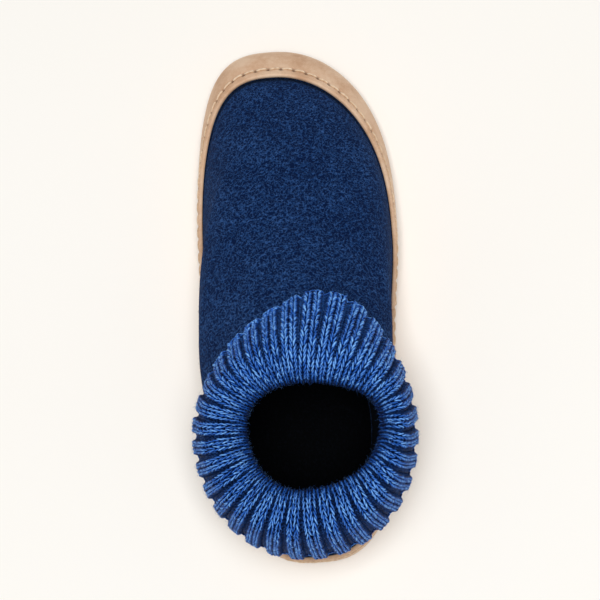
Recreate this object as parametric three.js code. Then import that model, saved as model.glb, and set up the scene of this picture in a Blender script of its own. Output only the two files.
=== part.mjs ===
// A felt slipper boot for the right foot: a boiled-wool upper, a rib-knit ankle tube turned down as a
// cuff, a suede bottom, and a suede rand in two strips that is sewn round the side of the foot.
// Millimetres, +Z up, the toe towards +Y and the lateral side towards +X. The origin is on the floor,
// under the middle of the sole.
import * as THREE from "three";

// Driving sizes.
const LENGTH = 264; // heel to toe, over the rand
const FELT = 3; // wall of the upper
const SUEDE = 1.8; // leather of the rand
const SOLE = 3; // suede bottom with its backing
const INSOLE = 4; // loose felt insole
const KNIT = 3; // rib-knit fabric
const GAP = 0.3; // clearance between pieces that touch
const COLLAR_HEIGHT = 90; // cut edge of the felt, covered by the cuff
const TOE_SPRING = 3; // lift of the toe's tip
const SPRING_FROM = 215; // station where the toe starts to lift
const ARCH_LIFT = 1.5; // lift of the sole's edge under the arch
const ARCH_FADE = 25; // height over which that lift dies away
const RIBS = 32; // ribs round the cuff

// Stations are measured along the foot from the back of the heel. A section is the outline of the felt's
// outer face at one height: its heel and toe ends, the sideways shift of the toe's tip, the station of
// greatest width on the medial side and how far ahead of it the lateral side is widest, the half widths
// there, how far the waist draws in on each side, and the exponents that round its toe on each side and
// its heel.
const LAST = table(
  [
    "height",
    "heel",
    "toe",
    "skew",
    "widest",
    "ahead",
    "medial",
    "lateral",
    "arch",
    "flank",
    "toeMedial",
    "toeLateral",
    "roundHeel",
  ],
  [
    [0.0, 7.0, 256.5, -9.0, 150, 20, 45.2, 45.2, 8.4, 5.5, 2.6, 2.5, 2.83],
    [3.0, 4.2, 259.6, -9.0, 150, 20, 47.6, 47.6, 8.2, 5.5, 2.6, 2.5, 2.83],
    [7.0, 2.6, 261.3, -9.0, 150, 20, 48.7, 48.7, 7.9, 5.4, 2.6, 2.5, 2.83],
    [12.0, 2.1, 261.9, -9.0, 150, 20, 49.0, 49.0, 7.3, 5.2, 2.6, 2.5, 2.83],
    [18.0, 2.1, 258.5, -8.6, 148, 18, 48.6, 48.7, 6.2, 4.4, 2.55, 2.42, 2.8],
    [26.0, 2.3, 248.5, -8.0, 145, 14, 47.6, 48.0, 4.4, 4.0, 2.48, 2.3, 2.75],
    [35.0, 3.0, 236.0, -7.0, 140, 20, 47.0, 47.9, 2.4, 4.0, 2.35, 2.25, 2.7],
    [43.0, 4.0, 221.0, -6.0, 122, 30, 47.6, 47.2, 2.0, 3.2, 2.25, 2.22, 2.65],
    [50.0, 5.2, 204.0, -5.0, 108, 28, 50.2, 46.2, 2.4, 1.4, 2.2, 2.2, 2.6],
    [57.0, 6.6, 184.0, -4.0, 100, 16, 50.0, 45.4, 1.6, 0.3, 2.15, 2.15, 2.5],
    [64.0, 8.2, 165.0, -3.0, 98, 0, 46.2, 43.4, 0.6, 0.0, 2.0, 2.0, 2.4],
    [72.0, 10.0, 146.0, -2.0, 86, 0, 40.4, 40.0, 0.0, 0.0, 1.95, 1.95, 2.35],
    [80.0, 12.0, 127.0, -1.0, 75, 0, 37.0, 37.8, 0.0, 0.0, 1.95, 1.95, 2.3],
    [90.0, 15.0, 106.0, 0.0, 62, 0, 34.6, 35.6, 0.0, 0.0, 2.0, 2.0, 2.3],
  ],
);
const WAIST_SKEW = 1.6; // puts the waist's narrowest place nearer the ball than the heel
const SKEW_POWER = 3.5; // keeps the toe's sideways shift close to its tip

// Heights at which the upper is sectioned, from its lower edge to the collar.
const UPPER_HEIGHTS = [SOLE + GAP, 7, 12, 18, 24, 30, 36, 42, 48, 54, 60, 67, 74, 82, COLLAR_HEIGHT];

// Height of the rand's upper edge at stations along the foot, and of its lower lip.
const RAND_TOP = table(
  ["station", "height"],
  [
    [0, 30],
    [60, 29],
    [132, 26],
    [190, 24],
    [230, 26],
    [262, 27.2],
  ],
);
const RAND_INNER = 0.55; // the rand's inner face off the felt
const RAND_LIP = 2; // height at which the rand's lower lip starts
const RAND_STEPS = 5; // rows of facets up the rand
const RAND_BELLY = 12; // height at which the rand's stations are read, where it is widest
const JOINT_STATION = 132; // where the toe strip meets the heel strip on both sides

// The cuff's fabric, followed from its seam on the collar, in and up through the narrow throat, over
// the crest and down outside to the hem: the ends and half widths of each ring of its middle surface,
// its height in front, at the sides and behind, the exponents of its front half on each side, the
// sideways shift of its front end, and the ribs' relief.
const CUFF = table(
  [
    "step",
    "back",
    "front",
    "medial",
    "lateral",
    "frontHeight",
    "sideHeight",
    "backHeight",
    "roundMedial",
    "roundLateral",
    "skew",
    "relief",
  ],
  [
    [0, 16.6, 104.6, 33.0, 34.0, 89.5, 91.4, 91.0, 2.0, 2.0, 0.0, 0.3],
    [1, 29.0, 82.8, 27.0, 40.6, 103.0, 102.0, 102.0, 2.0, 2.0, 0.0, 0.7],
    [2, 25.5, 85.0, 30.5, 43.4, 111.5, 110.5, 110.5, 2.0, 2.0, 0.0, 0.8],
    [3, 17.0, 91.5, 37.8, 46.6, 116.4, 115.4, 115.4, 2.0, 2.0, 1.5, 0.9],
    [4, 10.0, 100.5, 43.6, 48.8, 113.0, 111.0, 111.0, 1.85, 1.95, 4.0, 1.0],
    [5, 6.0, 110.5, 47.6, 50.6, 103.0, 97.0, 97.0, 1.75, 1.9, 6.5, 1.0],
    [6, 3.5, 119.0, 50.8, 51.8, 93.5, 82.0, 82.0, 1.65, 1.9, 8.5, 0.95],
    [7, 2.0, 124.8, 52.2, 52.4, 86.5, 67.0, 66.0, 1.6, 1.9, 10.0, 0.9],
  ],
);
const CUFF_STEPS = [0, 0.7, 1.4, 2.1, 3, 3.5, 4, 4.7, 5.4, 6.2, 7];
const CUFF_WIDEST = 62; // station of the cuff's greatest width
const CUFF_ROUND_BACK = 2.1; // exponent of the rear half of its rings
const RIB_PARTING = 0.2; // share of the front end's shift that the foremost rib follows
const DRAPE_FROM = 4; // step from which the fabric hangs outside the felt
const DRAPE_LOW = 50; // height below which it hangs free of the felt
const DRAPE = 3.3; // clearance of its middle surface over and beside the felt that it lies on

// One rib across its pitch: a broad raised band and a narrow valley.
const RIB = table(
  ["share", "lift"],
  [
    [0.0, 1],
    [0.58, 1],
    [0.72, -1],
    [0.86, -1],
  ],
);

const QUARTER_POINTS = 13; // facets along each quarter of a section
const DENSE = 64; // fine steps that those facets are spaced from
const BEND_WEIGHT = 22; // millimetres of length that one radian of turning counts as
const SLOPE_STEP = 0.5; // height step that slopes are taken over

function table(columns, rows) {
  return rows.map((row) => Object.fromEntries(columns.map((column, i) => [column, row[i]])));
}

// A column of a table at a place along its key column, on a smooth curve that never overshoots its rows.
function read(rows, key, column, at) {
  const last = rows.length - 2;
  let i = 0;
  while (i < last && at > rows[i + 1][key]) i++;
  const secant = (k) => (rows[k + 1][column] - rows[k][column]) / (rows[k + 1][key] - rows[k][key]);
  const slope = (k) => {
    if (k === 0) return secant(0);
    if (k === rows.length - 1) return secant(k - 1);
    const [before, after] = [secant(k - 1), secant(k)];
    return before * after > 0 ? (2 * before * after) / (before + after) : 0;
  };
  const span = rows[i + 1][key] - rows[i][key];
  const t = (at - rows[i][key]) / span;
  if (t < 0) return rows[0][column] + slope(0) * (at - rows[0][key]);
  if (t > 1) return rows[last + 1][column] + slope(last + 1) * (at - rows[last + 1][key]);
  const rise = rows[i + 1][column] - rows[i][column];
  const [a, b] = [slope(i) * span, slope(i + 1) * span];
  return rows[i][column] + t * (a + t * (3 * rise - 2 * a - b + t * (a + b - 2 * rise)));
}

function readAll(rows, key, at) {
  return Object.fromEntries(Object.keys(rows[0]).map((column) => [column, read(rows, key, column, at)]));
}

// How strongly the waist shows at a share of the way from the widest station back to the heel.
function waistSwell(share) {
  return Math.sin(Math.PI * (1 - (1 - share) ** WAIST_SKEW)) ** 2;
}

// The station at which a section is widest on one side.
function widestOn(section, side) {
  return side > 0 ? section.widest + section.ahead : section.widest;
}

// How far out a section's edge lies at a station, on the lateral side (+1) or the medial side (-1).
function edge(section, station, side) {
  const widest = widestOn(section, side);
  const ahead = station > widest;
  const reach = ahead ? section.toe - widest : widest - section.heel;
  const share = Math.min(1, Math.abs(station - widest) / reach);
  const roundToe = side > 0 ? section.toeLateral : section.toeMedial;
  const round = ahead ? roundToe : section.roundHeel;
  const half = side > 0 ? section.lateral : section.medial;
  const full = half * (1 - share ** round) ** (1 / round);
  const skew = ahead ? section.skew * share ** SKEW_POWER : 0;
  const draw = side > 0 ? section.flank : section.arch;
  const waist = ahead ? 0 : draw * waistSwell(share);
  return side * (full - waist) + skew;
}

// A closed outline in quarters from the heel's end round the lateral side, the toe and the medial side,
// as points of an (x, station) plane from functions of station and side.
function outlineQuarters(heel, widestAt, toe, edgeAt) {
  const quarter = (from, to, side) =>
    Array.from({ length: DENSE + 1 }, (_, i) => {
      const turn = (Math.PI / 2) * (i / DENSE);
      const share = from === widestAt(side) ? Math.sin(turn) : 1 - Math.cos(turn);
      const station = from + (to - from) * share;
      return new THREE.Vector2(edgeAt(station, side), station);
    });
  return [
    quarter(heel, widestAt(1), 1),
    quarter(widestAt(1), toe, 1),
    quarter(toe, widestAt(-1), -1),
    quarter(widestAt(-1), heel, -1),
  ];
}

// A dense line respaced into equal shares, where turning counts as length so that bends get more points.
// The last point is left to the next quarter.
function respace(line, count, bendWeight) {
  const reach = [0];
  for (let i = 1; i < line.length; i++) {
    const step = line[i].clone().sub(line[i - 1]);
    const next = line[Math.min(i + 1, line.length - 1)].clone().sub(line[i]);
    const bend = next.length() > 0 ? Math.abs(Math.atan2(step.cross(next), step.dot(next))) : 0;
    reach.push(reach[i - 1] + step.length() + bendWeight * bend);
  }
  return Array.from({ length: count }, (_, k) => {
    const target = (reach.at(-1) * k) / count;
    let i = 0;
    while (reach[i + 1] < target) i++;
    return line[i].clone().lerp(line[i + 1], (target - reach[i]) / (reach[i + 1] - reach[i]));
  });
}

const rings = new Map();

// The felt's outer face at one height, as a ring of points that correspond from height to height.
function ring(height) {
  if (!rings.has(height)) {
    const section = readAll(LAST, "height", height);
    const widestAt = (side) => widestOn(section, side);
    const edgeAt = (station, side) => edge(section, station, side);
    const quarters = outlineQuarters(section.heel, widestAt, section.toe, edgeAt);
    const flat = quarters.flatMap((line) => respace(line, QUARTER_POINTS, BEND_WEIGHT));
    rings.set(
      height,
      flat.map((p) => new THREE.Vector3(p.x, p.y, height)),
    );
  }
  return rings.get(height);
}

const RING_POINTS = 4 * QUARTER_POINTS;

// The toe spring and the arch, which lift every piece alike near the floor.
function lift(x, station, height) {
  const toe = Math.max(0, (station - SPRING_FROM) / (LENGTH - SPRING_FROM));
  const { heel, widest, medial } = LAST[0];
  const share = THREE.MathUtils.clamp((widest - station) / (widest - heel), 0, 1);
  const across = THREE.MathUtils.smoothstep(-x / medial, 0.3, 0.9);
  const fade = Math.max(0, 1 - height / ARCH_FADE);
  return TOE_SPRING * toe ** 2 + ARCH_LIFT * waistSwell(share) * across * fade;
}

// A point of the part from its sideways place, station and unlifted height.
function place(x, station, height) {
  return new THREE.Vector3(x, station - LENGTH / 2, height + lift(x, station, height));
}

// A point of the felt's outer face pushed out along its normal.
function skin(index, height, offset) {
  const around = ring(height);
  const tangent = around[(index + 1) % RING_POINTS].clone().sub(around.at(index - 1));
  const rise = ring(height + SLOPE_STEP)[index].clone().sub(ring(height - SLOPE_STEP)[index]);
  const normal = tangent.cross(rise).normalize();
  const point = around[index].clone().addScaledVector(normal, offset);
  return place(point.x, point.y, point.z);
}

// A solid swept through loops of equally many points, either closed on itself or capped at both ends.
// A cap joins the loop's first half to its second half.
function loft(loops, closed) {
  const size = loops[0].length;
  const positions = loops.flat().flatMap((p) => [p.x, p.y, p.z]);
  const index = [];
  const quad = (a, b, c, d) => index.push(a, b, c, a, c, d);
  const steps = closed ? loops.length : loops.length - 1;
  for (let i = 0; i < steps; i++) {
    const [here, next] = [i * size, ((i + 1) % loops.length) * size];
    for (let k = 0; k < size; k++) {
      const up = (k + 1) % size;
      quad(here + k, next + k, next + up, here + up);
    }
  }
  if (!closed) {
    const end = (loops.length - 1) * size;
    for (let k = 0; k < size / 2 - 1; k++) {
      quad(k, k + 1, size - 2 - k, size - 1 - k);
      quad(end + size - 1 - k, end + size - 2 - k, end + k + 1, end + k);
    }
  }
  const geometry = new THREE.BufferGeometry();
  geometry.setAttribute("position", new THREE.Float32BufferAttribute(positions, 3));
  geometry.setIndex(index);
  if (signedVolume(geometry) < 0) geometry.setIndex(index.reverse());
  geometry.computeVertexNormals();
  return geometry;
}

function signedVolume(geometry) {
  const { index, attributes } = geometry;
  const corner = (i) => new THREE.Vector3().fromBufferAttribute(attributes.position, index.getX(i));
  let total = 0;
  for (let i = 0; i < index.count; i += 3) {
    total += corner(i).dot(corner(i + 1).cross(corner(i + 2))) / 6;
  }
  return total;
}

// The upper: the felt wall from its lower edge to the collar, open at both.
function upper() {
  const wall = (index) => [
    ...UPPER_HEIGHTS.map((height) => skin(index, height, 0)),
    ...UPPER_HEIGHTS.toReversed().map((height) => skin(index, height, -FELT)),
  ];
  return loft(Array.from({ length: RING_POINTS }, (_, index) => wall(index)), true);
}

// The ring's points whose stations lie on one side of the rand's joint, in order along the strip.
function randIndices(toeStrip) {
  const stations = ring(RAND_BELLY).map((p) => p.y);
  const inStrip = (index) => stations[index] > JOINT_STATION === toeStrip;
  const before = (index) => (index + RING_POINTS - 1) % RING_POINTS;
  const start = stations.findIndex((_, index) => inStrip(index) && !inStrip(before(index)));
  const order = Array.from({ length: RING_POINTS }, (_, i) => (start + i) % RING_POINTS);
  return order.filter(inStrip);
}

// A cross-section of the rand between two offsets of the felt, at a place between two ring points.
function randLoop(index, share) {
  const next = (index + 1) % RING_POINTS;
  const mix = (height, offset) => skin(index, height, offset).lerp(skin(next, height, offset), share);
  const station = mix(RAND_BELLY, 0).y + LENGTH / 2;
  const top = read(RAND_TOP, "station", "height", station);
  const rise = (top - RAND_LIP) / RAND_STEPS;
  const heights = Array.from({ length: RAND_STEPS + 1 }, (_, k) => RAND_LIP + rise * k);
  return [
    ...heights.map((height) => mix(height, RAND_INNER + SUEDE)),
    ...heights.toReversed().map((height) => mix(height, RAND_INNER)),
  ];
}

// One strip of the rand, run out at both ends to half a gap from the joint.
function rand(toeStrip) {
  const indices = randIndices(toeStrip);
  const before = (indices[0] + RING_POINTS - 1) % RING_POINTS;
  const stations = ring(RAND_BELLY).map((p) => p.y);
  const end = JOINT_STATION + (toeStrip ? GAP : -GAP) / 2;
  const step = (index) => stations[(index + 1) % RING_POINTS] - stations[index];
  const endShare = (index) => (end - stations[index]) / step(index);
  return loft(
    [
      randLoop(before, endShare(before)),
      ...indices.map((index) => randLoop(index, 0)),
      randLoop(indices.at(-1), endShare(indices.at(-1))),
    ],
    false,
  );
}

// A ring drawn in level by the same amount all round, at a height of its own.
function drawnIn(base, by, height) {
  return base.map((point, index) => {
    const tangent = base[(index + 1) % RING_POINTS].clone().sub(base.at(index - 1)).normalize();
    return new THREE.Vector3(point.x - tangent.y * by, point.y + tangent.x * by, height);
  });
}

// A plate between rings, from the heel to the toe: each loop crosses from the medial point of a ring to
// its lateral partner over the top, and back underneath. The ring between them shapes the side.
const PLATE_COLUMNS = 7;

function plate(top, side, bottom) {
  const across = Array.from({ length: PLATE_COLUMNS }, (_, k) => k / (PLATE_COLUMNS - 1));
  const lifted = (point) => place(point.x, point.y, point.z);
  const loopAt = (index) => {
    const row = (points) => across.map((t) => lifted(points.at(-index).clone().lerp(points[index], t)));
    return [...row(top), lifted(side[index]), ...row(bottom).toReversed(), lifted(side.at(-index))];
  };
  const pairs = RING_POINTS / 2 - 1;
  return loft(Array.from({ length: pairs }, (_, i) => loopAt(i + 1)), false);
}

// The suede bottom: its upper part fits inside the rand and its lower edge rolls in to the floor.
const SOLE_ROLL = 1.4; // height of the widest part of the sole's rolled edge
const SOLE_FLAT_INSET = 1.6; // how far the flat tread lies inside that edge

function sole() {
  const rolled = drawnIn(ring(SOLE_ROLL), GAP, SOLE_ROLL);
  return plate(drawnIn(ring(SOLE), GAP, SOLE), rolled, drawnIn(rolled, SOLE_FLAT_INSET, 0));
}

// The insole: a felt plate on the sole, just inside the upper's wall.
const INSOLE_INSET = FELT + 0.6;

function insole() {
  const floor = SOLE + 1.5 * GAP;
  const layer = (up) => drawnIn(ring(floor), INSOLE_INSET, floor + up);
  return plate(layer(INSOLE), layer(INSOLE / 2), layer(0));
}

// The least height at which the cuff's middle surface clears the felt over a point of the floor plan.
function drapedHeight(x, station) {
  const inside = (height) => {
    const section = readAll(LAST, "height", height);
    const grown = { ...section, medial: section.medial + DRAPE, lateral: section.lateral + DRAPE };
    const within = station > section.heel && station < section.toe;
    return within && x < edge(grown, station, 1) && x > edge(grown, station, -1);
  };
  let [low, high] = [DRAPE_LOW, COLLAR_HEIGHT];
  if (!inside(low)) return 0;
  while (high - low > GAP / 10) {
    const middle = (low + high) / 2;
    [low, high] = inside(middle) ? [middle, high] : [low, middle];
  }
  return low + DRAPE;
}

// A ring of the cuff's middle surface at a step along its fabric, with a few points for every rib.
function cuffRing(step) {
  const row = readAll(CUFF, "step", step);
  const edgeAt = (station, side) => {
    const ahead = station > CUFF_WIDEST;
    const share = Math.min(1, (station - CUFF_WIDEST) / ((ahead ? row.front : row.back) - CUFF_WIDEST));
    const roundFront = side > 0 ? row.roundLateral : row.roundMedial;
    const round = ahead ? roundFront : CUFF_ROUND_BACK;
    const half = side > 0 ? row.lateral : row.medial;
    const skew = ahead ? row.skew * share ** SKEW_POWER : 0;
    return side * half * (1 - share ** round) ** (1 / round) + skew;
  };
  const quarters = outlineQuarters(row.back, () => CUFF_WIDEST, row.front, edgeAt);
  const joined = ([first, second]) => [...first, ...second.slice(1)];
  const halves = parted(joined(quarters.slice(0, 2)), joined(quarters.slice(2)), RIB_PARTING * row.skew);
  const heightAt = (station) => {
    const ahead = station > CUFF_WIDEST;
    const share = (station - CUFF_WIDEST) / ((ahead ? row.front : row.back) - CUFF_WIDEST);
    return THREE.MathUtils.lerp(row.sideHeight, ahead ? row.frontHeight : row.backHeight, share ** 2);
  };
  const draped = (p) => (step > DRAPE_FROM ? drapedHeight(p.x, p.y) : 0);
  const ribs = RIBS / 2;
  const shares = Array.from({ length: ribs }, (_, k) => RIB.map(({ share }) => (k + share) / ribs)).flat();
  const flat = halves.flatMap((line) => alongLine(line, shares));
  return flat.map((p) => new THREE.Vector3(p.x, p.y, Math.max(heightAt(p.y), draped(p))));
}

// Both halves of a ring, parted on the medial half of its front at a sideways place.
function parted(lateral, medial, x) {
  const past = medial.findIndex((p) => p.x <= x);
  if (past === 0) return [lateral, medial];
  const [before, after] = [medial[past - 1], medial[past]];
  const joint = before.clone().lerp(after, (before.x - x) / (before.x - after.x));
  return [
    [...lateral, ...medial.slice(1, past), joint],
    [joint, ...medial.slice(past)],
  ];
}

// Points at shares of a line's length.
function alongLine(line, shares) {
  const reach = [0];
  for (let i = 1; i < line.length; i++) reach.push(reach[i - 1] + line[i].distanceTo(line[i - 1]));
  let i = 0;
  return shares.map((share) => {
    const target = share * reach.at(-1);
    while (reach[i + 1] < target) i++;
    return line[i].clone().lerp(line[i + 1], (target - reach[i]) / (reach[i + 1] - reach[i]));
  });
}

// The cuff: the knitted tube and its turned-down part as one corrugated wall, with the broad bands of
// its ribs raised on the face that shows.
function cuff() {
  const middle = CUFF_STEPS.map(cuffRing);
  const count = middle[0].length;
  const wallPoint = (j, index, offset) => {
    const [below, above] = [middle[Math.max(j - 1, 0)], middle[Math.min(j + 1, middle.length - 1)]];
    const stride = RIB.length; // neighbours a whole rib away, so that the normal ignores the ribs
    const tangent = middle[j][(index + stride) % count].clone().sub(middle[j].at(index - stride));
    const normal = above[index].clone().sub(below[index]).cross(tangent).normalize();
    const relief = read(CUFF, "step", "relief", CUFF_STEPS[j]) * RIB[index % RIB.length].lift;
    const point = middle[j][index].clone().addScaledVector(normal, offset + relief);
    return new THREE.Vector3(point.x, point.y - LENGTH / 2, point.z);
  };
  const rows = CUFF_STEPS.map((_, j) => j);
  const wall = (index) => [
    ...rows.map((j) => wallPoint(j, index, KNIT / 2)),
    ...rows.toReversed().map((j) => wallPoint(j, index, -KNIT / 2)),
  ];
  return loft(Array.from({ length: count }, (_, index) => wall(index)), true);
}

function piece(name, geometry, color, roughness) {
  const material = new THREE.MeshStandardMaterial({ color, roughness, metalness: 0 });
  const mesh = new THREE.Mesh(geometry, material);
  mesh.name = name;
  return mesh;
}

const NAVY_FELT = 0x162e55;
const BLUE_KNIT = 0x2c5592;
const TAN_SUEDE = 0xd2b195;
const TAN_RAND = 0xcfae92;
const DARK_FELT = 0x10203c;

const boot = new THREE.Group();
boot.add(
  piece("sole", sole(), TAN_SUEDE, 0.95),
  piece("insole", insole(), DARK_FELT, 1),
  piece("upper", upper(), NAVY_FELT, 1),
  piece("rand_toe", rand(true), TAN_RAND, 0.75),
  piece("rand_heel", rand(false), TAN_RAND, 0.85),
  piece("cuff", cuff(), BLUE_KNIT, 0.95),
);

export default boot;
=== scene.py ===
import bpy
import numpy as np
from mathutils import Matrix, Vector


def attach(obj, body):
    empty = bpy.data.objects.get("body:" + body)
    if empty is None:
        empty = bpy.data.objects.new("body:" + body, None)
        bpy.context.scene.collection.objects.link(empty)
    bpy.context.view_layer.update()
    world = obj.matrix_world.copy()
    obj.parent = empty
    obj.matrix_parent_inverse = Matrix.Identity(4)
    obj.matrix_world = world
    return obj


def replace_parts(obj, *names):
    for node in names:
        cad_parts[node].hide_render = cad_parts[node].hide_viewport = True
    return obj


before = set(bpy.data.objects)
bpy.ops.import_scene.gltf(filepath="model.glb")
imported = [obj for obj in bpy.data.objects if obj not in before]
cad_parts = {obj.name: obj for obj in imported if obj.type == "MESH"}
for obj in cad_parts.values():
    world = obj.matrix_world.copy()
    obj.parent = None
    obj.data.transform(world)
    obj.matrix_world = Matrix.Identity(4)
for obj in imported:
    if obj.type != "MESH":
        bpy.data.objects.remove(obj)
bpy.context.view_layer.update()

MM = 0.001

# Sizes shared with the solids.
LENGTH = 264.0
FELT = 3.0
SUEDE = 1.8
SOLE = 3.0
INSOLE = 4.0
KNIT = 3.0
GAP = 0.3
COLLAR_HEIGHT = 90.0
TOE_SPRING = 3.0
SPRING_FROM = 215.0
ARCH_LIFT = 1.5
ARCH_FADE = 25.0
ARCH_ACROSS = (0.3, 0.9)
WAIST_SKEW = 1.6
SKEW_POWER = 3.5
RIBS = 32
RIB_PARTING = 0.2
RAND_INNER = 0.55
RAND_FACE = RAND_INNER + SUEDE
RAND_LIP = 2.0
RAND_BELLY = 12.0
JOINT_STATION = 132.0
SOLE_ROLL = 1.4
SOLE_FLAT_INSET = 1.6
INSOLE_EASE = 0.6
INSOLE_INSET = FELT + INSOLE_EASE
CUFF_WIDEST = 62.0
CUFF_ROUND_BACK = 2.1
DRAPE_FROM = 4.0
DRAPE_LOW = 50.0
DRAPE = 3.3


def table(columns, rows):
    """A table as one array for each named column."""
    return {name: np.array(values, float) for name, values in zip(columns.split(), zip(*rows))}


# Sections of the felt's outer face: one row for each height. Ahead is how far in front of the medial
# side's widest place the lateral side is widest.
LAST = table(
    "height heel toe skew widest ahead medial lateral arch flank toe_medial toe_lateral round_heel",
    [
        (0.0, 7.0, 256.5, -9.0, 150, 20, 45.2, 45.2, 8.4, 5.5, 2.6, 2.5, 2.83),
        (3.0, 4.2, 259.6, -9.0, 150, 20, 47.6, 47.6, 8.2, 5.5, 2.6, 2.5, 2.83),
        (7.0, 2.6, 261.3, -9.0, 150, 20, 48.7, 48.7, 7.9, 5.4, 2.6, 2.5, 2.83),
        (12.0, 2.1, 261.9, -9.0, 150, 20, 49.0, 49.0, 7.3, 5.2, 2.6, 2.5, 2.83),
        (18.0, 2.1, 258.5, -8.6, 148, 18, 48.6, 48.7, 6.2, 4.4, 2.55, 2.42, 2.8),
        (26.0, 2.3, 248.5, -8.0, 145, 14, 47.6, 48.0, 4.4, 4.0, 2.48, 2.3, 2.75),
        (35.0, 3.0, 236.0, -7.0, 140, 20, 47.0, 47.9, 2.4, 4.0, 2.35, 2.25, 2.7),
        (43.0, 4.0, 221.0, -6.0, 122, 30, 47.6, 47.2, 2.0, 3.2, 2.25, 2.22, 2.65),
        (50.0, 5.2, 204.0, -5.0, 108, 28, 50.2, 46.2, 2.4, 1.4, 2.2, 2.2, 2.6),
        (57.0, 6.6, 184.0, -4.0, 100, 16, 50.0, 45.4, 1.6, 0.3, 2.15, 2.15, 2.5),
        (64.0, 8.2, 165.0, -3.0, 98, 0, 46.2, 43.4, 0.6, 0.0, 2.0, 2.0, 2.4),
        (72.0, 10.0, 146.0, -2.0, 86, 0, 40.4, 40.0, 0.0, 0.0, 1.95, 1.95, 2.35),
        (80.0, 12.0, 127.0, -1.0, 75, 0, 37.0, 37.8, 0.0, 0.0, 1.95, 1.95, 2.3),
        (90.0, 15.0, 106.0, 0.0, 62, 0, 34.6, 35.6, 0.0, 0.0, 2.0, 2.0, 2.3),
    ],
)

# Height of the rand's upper edge along the foot.
RAND_TOP = table(
    "station height",
    [(0, 30), (60, 29), (132, 26), (190, 24), (230, 26), (262, 27.2)],
)

# Rings of the cuff's middle surface, from its seam inside the collar over the crest to the hem.
CUFF = table(
    "step back front medial lateral front_height side_height back_height"
    " round_medial round_lateral skew relief",
    [
        (0, 16.6, 104.6, 33.0, 34.0, 89.5, 91.4, 91.0, 2.0, 2.0, 0.0, 0.3),
        (1, 29.0, 82.8, 27.0, 40.6, 103.0, 102.0, 102.0, 2.0, 2.0, 0.0, 0.7),
        (2, 25.5, 85.0, 30.5, 43.4, 111.5, 110.5, 110.5, 2.0, 2.0, 0.0, 0.8),
        (3, 17.0, 91.5, 37.8, 46.6, 116.4, 115.4, 115.4, 2.0, 2.0, 1.5, 0.9),
        (4, 10.0, 100.5, 43.6, 48.8, 113.0, 111.0, 111.0, 1.85, 1.95, 4.0, 1.0),
        (5, 6.0, 110.5, 47.6, 50.6, 103.0, 97.0, 97.0, 1.75, 1.9, 6.5, 1.0),
        (6, 3.5, 119.0, 50.8, 51.8, 93.5, 82.0, 82.0, 1.65, 1.9, 8.5, 0.95),
        (7, 2.0, 124.8, 52.2, 52.4, 86.5, 67.0, 66.0, 1.6, 1.9, 10.0, 0.9),
    ],
)
LAST_STEP = 7.0


def read(rows, key, at):
    """Every column at places along the key column, on smooth curves that never overshoot the rows."""
    knots = rows[key]
    at = np.asarray(at, float)
    span = np.diff(knots)
    i = np.clip(np.searchsorted(knots, at, side="right") - 1, 0, len(span) - 1)
    t = (at - knots[i]) / span[i]
    found = {}
    for name, values in rows.items():
        secant = np.diff(values) / span
        product = secant[:-1] * secant[1:]
        total = np.where(product > 0, secant[:-1] + secant[1:], 1)
        inner = np.where(product > 0, 2 * product / total, 0)
        slope = np.concatenate([secant[:1], inner, secant[-1:]])
        rise = values[i + 1] - values[i]
        a = slope[i] * span[i]
        b = slope[i + 1] * span[i]
        curve = values[i] + t * (a + t * (3 * rise - 2 * a - b + t * (a + b - 2 * rise)))
        before = values[0] + slope[0] * (at - knots[0])
        after = values[-1] + slope[-1] * (at - knots[-1])
        found[name] = np.where(t < 0, before, np.where(t > 1, after, curve))
    return found


def smoothstep(value, low, high):
    t = np.clip((value - low) / (high - low), 0, 1)
    return t * t * (3 - 2 * t)


def bell(value, width):
    """A smooth hump of height 1 round zero."""
    return np.exp(-((value / width) ** 2))


def waist_swell(share):
    return np.sin(np.pi * (1 - (1 - share) ** WAIST_SKEW)) ** 2


SIDES = {1: "lateral", -1: "medial"}


def widest_on(section, side):
    """The station at which a section is widest on one side."""
    return section["widest"] + section["ahead"] if side > 0 else section["widest"]


def edge(section, station, side):
    """How far out a section's edge lies at a station, on the lateral side (+1) or the medial (-1)."""
    name = SIDES[side]
    widest = widest_on(section, side)
    ahead = station > widest
    reach = np.where(ahead, section["toe"] - widest, widest - section["heel"])
    share = np.minimum(1, np.abs(station - widest) / reach)
    rounding = np.where(ahead, section["toe_" + name], section["round_heel"])
    full = section[name] * (1 - share**rounding) ** (1 / rounding)
    skew = np.where(ahead, section["skew"] * share**SKEW_POWER, 0)
    draw = section["flank"] if side > 0 else section["arch"]
    waist = np.where(ahead, 0, draw * waist_swell(share))
    return side * (full - waist) + skew


DENSE = 160
SWEEP = np.linspace(0, np.pi / 2, DENSE + 1)


def quarter_stations(start, end, from_widest):
    """Stations along a quarter of an outline, close together at its blunt end."""
    share = np.sin(SWEEP) if from_widest else 1 - np.cos(SWEEP)
    return start + (end - start) * share


def respace(line, count, bend_weight):
    """A line cut into equal shares, less its last point; turning counts as length by a weight."""
    step = np.diff(line, axis=0)
    heading = np.unwrap(np.arctan2(step[:, 1], step[:, 0]))
    bend = np.append(np.abs(np.diff(heading)), 0)
    reach = np.concatenate([[0], np.cumsum(np.hypot(*step.T) + bend_weight * bend)])
    target = reach[-1] * np.arange(count) / count
    return np.column_stack([np.interp(target, reach, column) for column in line.T])


FOOT_QUARTER = 120
BEND_WEIGHT = 22.0


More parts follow.
